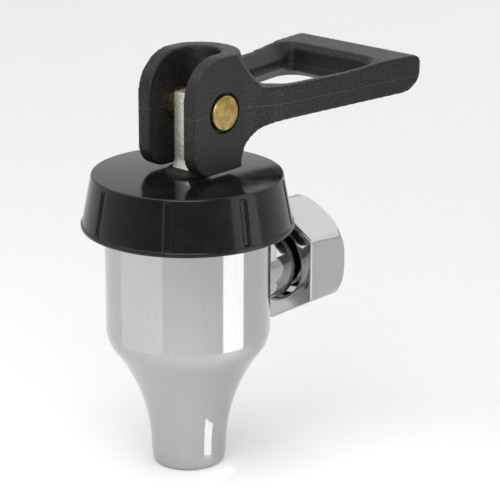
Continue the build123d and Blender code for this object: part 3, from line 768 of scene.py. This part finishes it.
def vary(material, shader, pattern, socket, low, high):
    """Spreads a socket's value from low to high along the pattern."""
    spread = material.node_tree.nodes.new("ShaderNodeMapRange")
    set_range(spread, NOISE_SPAN, (low, high))
    material.node_tree.links.new(pattern, spread.inputs["Value"])
    material.node_tree.links.new(spread.outputs["Result"], shader.inputs[socket])


def bumps(material, shader, pattern, depth):
    """Raises the pattern by about that depth in metres."""
    bump = material.node_tree.nodes.new("ShaderNodeBump")
    bump.inputs["Distance"].default_value = depth
    material.node_tree.links.new(pattern, bump.inputs["Height"])
    material.node_tree.links.new(bump.outputs["Normal"], shader.inputs["Normal"])


def position(material):
    """The place of a point in the piece's own coordinates, as X, Y and Z sockets."""
    nodes, links = material.node_tree.nodes, material.node_tree.links
    place = nodes.new("ShaderNodeTexCoord")
    split = nodes.new("ShaderNodeSeparateXYZ")
    links.new(place.outputs["Object"], split.inputs["Vector"])
    return split.outputs


def maths(material, operation, *values):
    """The result of a sum on sockets and numbers."""
    node = material.node_tree.nodes.new("ShaderNodeMath")
    node.operation = operation
    for socket, value in zip(node.inputs, values):
        if isinstance(value, bpy.types.NodeSocket):
            material.node_tree.links.new(value, socket)
        else:
            socket.default_value = value
    return node.outputs["Value"]


def overlay(material, shader, mask, colour):
    """Lays a colour over the shader's own, as far as the mask says."""
    links = material.node_tree.links
    mix = material.node_tree.nodes.new("ShaderNodeMix")
    mix.data_type = "RGBA"
    links.new(mask, mix.inputs["Factor"])
    links.new(shader.inputs["Base Color"].links[0].from_socket, mix.inputs["A"])
    mix.inputs["B"].default_value = (*colour, 1)
    links.new(mix.outputs["Result"], shader.inputs["Base Color"])


def chrome(name):
    material, shader = principled(name, {"Metallic": 1.0})
    polish = grain(material, 0.6 * MM, 5, (1, 1, 0.15))
    tint(material, shader, polish, (0.425, 0.43, 0.435), (0.445, 0.45, 0.455))
    vary(material, shader, polish, "Roughness", 0.05, 0.12)
    bumps(material, shader, grain(material, 3 * MM), 0.002 * MM)
    return material


def bare_inside(material, shader):
    """Leaves the nut's bore as bare brass: a mask by distance from the inlet's axis and along it."""
    x, y, z = position(material)
    reach = maths(material, "MULTIPLY_ADD", x, x, maths(material, "MULTIPLY", z, z))
    near = maths(material, "LESS_THAN", reach, (NUT_BARE_RADIUS * MM) ** 2)
    deep = maths(material, "GREATER_THAN", y, NUT_LOW.y + NUT_LIP_EDGE * MM)
    overlay(material, shader, maths(material, "MULTIPLY", near, deep), (0.3, 0.22, 0.12))


def plated_nut():
    material = chrome("nut_plate")
    bare_inside(material, material.node_tree.nodes["Principled BSDF"])
    return material


def gloss_black():
    material, shader = principled("phenolic_gloss", {"Specular IOR Level": 0.3})
    tint(material, shader, grain(material, 6 * MM), (0.004, 0.004, 0.004), (0.008, 0.008, 0.008))
    vary(material, shader, grain(material, 2.5 * MM), "Roughness", 0.09, 0.18)
    bumps(material, shader, grain(material, 0.7 * MM), 0.004 * MM)
    return material


def part_line(material, shader):
    """Adds the faint pale line that the mould's halves leave round the lever at the pivot's height."""
    line = maths(material, "COMPARE", position(material)["Z"], PIVOT.z, PART_LINE * MM)
    worn = maths(material, "MULTIPLY", line, grain(material, 1.2 * MM))
    overlay(material, shader, worn, (0.07, 0.07, 0.07))


def matte_black():
    material, shader = principled("nylon_grain", {"Specular IOR Level": 0.3})
    specks = grain(material, 0.3 * MM, 4)
    tint(material, shader, specks, (0.006, 0.006, 0.006), (0.04, 0.04, 0.039), (0.45, 0.8))
    part_line(material, shader)
    vary(material, shader, grain(material, 0.8 * MM), "Roughness", 0.38, 0.52)
    bumps(material, shader, grain(material, 0.3 * MM, 2), 0.035 * MM)
    return material


def turned_brass():
    material, shader = principled("turned_brass", {"Metallic": 1.0})
    tint(material, shader, grain(material, 1.6 * MM, 5), (0.28, 0.19, 0.06), (0.48, 0.35, 0.13))
    vary(material, shader, grain(material, 0.6 * MM), "Roughness", 0.22, 0.42)
    bumps(material, shader, grain(material, 0.5 * MM), 0.015 * MM)
    return material


def cast_nickel():
    material, shader = principled("cast_nickel", {"Metallic": 1.0})
    tint(material, shader, grain(material, 0.6 * MM, 5), (0.68, 0.65, 0.57), (0.95, 0.92, 0.84))
    vary(material, shader, grain(material, 0.4 * MM), "Roughness", 0.35, 0.55)
    bumps(material, shader, grain(material, 0.4 * MM), 0.04 * MM)
    return material


def stainless():
    material, shader = principled("drawn_stainless", {"Metallic": 1.0})
    tint(material, shader, grain(material, 2 * MM), (0.5, 0.5, 0.49), (0.62, 0.62, 0.6))
    vary(material, shader, grain(material, 0.4 * MM, 3, (1, 1, 6)), "Roughness", 0.2, 0.34)
    return material


def silicone():
    material, shader = principled("silicone", {"Subsurface Weight": 0.4, "Subsurface Scale": 2 * MM})
    tint(material, shader, grain(material, 5 * MM), (0.66, 0.64, 0.58), (0.74, 0.72, 0.67))
    vary(material, shader, grain(material, 1 * MM), "Roughness", 0.4, 0.55)
    return material


def rubber():
    material, shader = principled("cut_rubber", {"Specular IOR Level": 0.35})
    tint(material, shader, grain(material, 0.5 * MM), (0.006, 0.006, 0.006), (0.016, 0.016, 0.015))
    vary(material, shader, grain(material, 0.8 * MM), "Roughness", 0.6, 0.8)
    bumps(material, shader, grain(material, 0.3 * MM), 0.03 * MM)
    return material


MATERIALS = {
    "chromed_brass": chrome("chrome_plate"),
    "black_phenolic": gloss_black(),
    "black_nylon": matte_black(),
    "brass": turned_brass(),
    "cast_nickel": cast_nickel(),
    "stainless": stainless(),
    "silicone": silicone(),
    "black_rubber": rubber(),
}


def dress(piece, slot):
    piece.data.materials.clear()
    piece.data.materials.append(MATERIALS[slot])


def fit(piece, body, node, slot):
    """Gives a piece its finish and body, and lets it stand for its solid."""
    dress(piece, slot)
    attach(piece, body)
    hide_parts(node)


fit(build_body(), "body", "tap_body", "chromed_brass")
fit(build_tail(), "body", "inlet_tail", "chromed_brass")
fit(build_bonnet(), "body", "bonnet", "black_phenolic")
nut = build_nut()
fit(nut, "nut", "union_nut", "chromed_brass")
nut.data.materials[0] = plated_nut()
fit(build_lever(), "lever", "lever", "black_nylon")
fit(build_stem(), "stem", "stem", "cast_nickel")
wiper = build_wiper()
dress(wiper, "black_rubber")
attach(wiper, "stem")
fit(build_stud(1), "stem", "pivot_stud_right", "brass")
fit(build_stud(-1), "stem", "pivot_stud_left", "brass")
spring = build_spring()
fit(spring, "stem", "spring", "stainless")
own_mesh(spring)
cup = build_cup()
fit(cup, "body", "seat_cup", "silicone")
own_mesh(cup)
for node, slot in (("tail_gasket", "black_rubber"), ("thrust_washer", "stainless")):
    for held in frame["nodes"][node].material_slots:
        held.material = MATERIALS[slot]

# Pale floor under the spout
FLOOR_HALF = 3.0
FLOOR_FINISH = {"Base Color": (0.9, 0.9, 0.9, 1), "Roughness": 0.9}
bpy.ops.mesh.primitive_plane_add(size=2 * FLOOR_HALF, location=(0, TAP_AXIS.y, BODY_LOW.z))
floor = bpy.context.object
floor.name = "floor"
floor_material, _ = principled("pale_floor", FLOOR_FINISH)
floor.data.materials.append(floor_material)

# Soft studio light: a room that is brighter behind the tap, boxes above and behind it, washes on the
# floor, and cards that the chrome mirrors. Each light has a place and an aim, in metres from the tap's
# axis at the bonnet's rim, then a width and a height in metres, and watts.
ROOM_BACK = (-0.67, 0.74, 0)
ROOM_SPAN = (-1, 0.6)
ROOM_LEVELS = (0.25, 0.85)
ROOM_COLOUR = (0.97, 0.985, 1.0, 1)
LIGHTS = (
    ("box_above", (-0.1, -0.35, 0.95), (0, 0, 0), 0.9, 0.9, 3.4),
    ("box_behind", (0.1, 0.75, 0.7), (0, 0, 0), 1.6, 1.0, 3.0),
    ("wash_left", (-0.1, -0.1, 0.13), (-0.1, -0.1, 0), 0.16, 0.16, 0.06),
    ("wash_front", (0.05, -0.055, 0.05), (0, -0.012, -0.049), 0.06, 0.06, 0.044),
    ("card_left", (-0.0173, -0.0584, -0.0245), (0.0273, 0.0311, -0.0245), 0.0757, 0.047, 0.0023),
    ("card_foot", (0.0121, -0.0007, -0.0456), (0.001, -0.0036, -0.0456), 0.0037, 0.006, 0.000075),
    ("card_right", (0.0633, 0.0146, 0.0), (0, 0, 0), 0.035, 0.095, 0.013),
)
world = bpy.data.worlds.new("studio")
world.use_nodes = True
room = world.node_tree
direction = room.nodes.new("ShaderNodeTexCoord")
backwards = room.nodes.new("ShaderNodeVectorMath")
backwards.operation = "DOT_PRODUCT"
backwards.inputs[1].default_value = ROOM_BACK
room.links.new(direction.outputs["Generated"], backwards.inputs[0])
level = room.nodes.new("ShaderNodeMapRange")
set_range(level, ROOM_SPAN, ROOM_LEVELS)
room.links.new(backwards.outputs["Value"], level.inputs["Value"])
room.links.new(level.outputs["Result"], room.nodes["Background"].inputs["Strength"])
room.nodes["Background"].inputs["Color"].default_value = ROOM_COLOUR
bpy.context.scene.world = world

for name, place, aim, width, height, watts in LIGHTS:
    light = bpy.data.lights.new(name, "AREA")
    light.shape = "RECTANGLE"
    light.size, light.size_y = width, height
    light.energy = watts
    lamp = bpy.data.objects.new(name, light)
    lamp.location = TAP_AXIS + Vector(place)
    lamp.visible_camera = False
    lamp.rotation_euler = (Vector(place) - Vector(aim)).to_track_quat("Z", "Y").to_euler()
    bpy.context.collection.objects.link(lamp)

# Camera where the photograph was taken from
CAMERA_PLACE = Vector((254.84, -295.86, 131.62)) * MM
CAMERA_AIM = Vector((-0.31, -15.65, 3.64)) * MM
CAMERA_ROLL = math.radians(0.255)
CAMERA_LENS = 144.0
CAMERA_SENSOR = 36.0
camera = bpy.data.objects.new("camera", bpy.data.cameras.new("camera"))
camera.data.lens = CAMERA_LENS
camera.data.sensor_width = CAMERA_SENSOR
facing = (CAMERA_AIM - CAMERA_PLACE).to_track_quat("-Z", "Y").to_matrix().to_4x4()
camera.matrix_world = Matrix.Translation(CAMERA_PLACE) @ facing @ Matrix.Rotation(CAMERA_ROLL, 4, "Z")
bpy.context.collection.objects.link(camera)
bpy.context.scene.camera = camera
bpy.context.scene.view_settings.view_transform = "Standard"
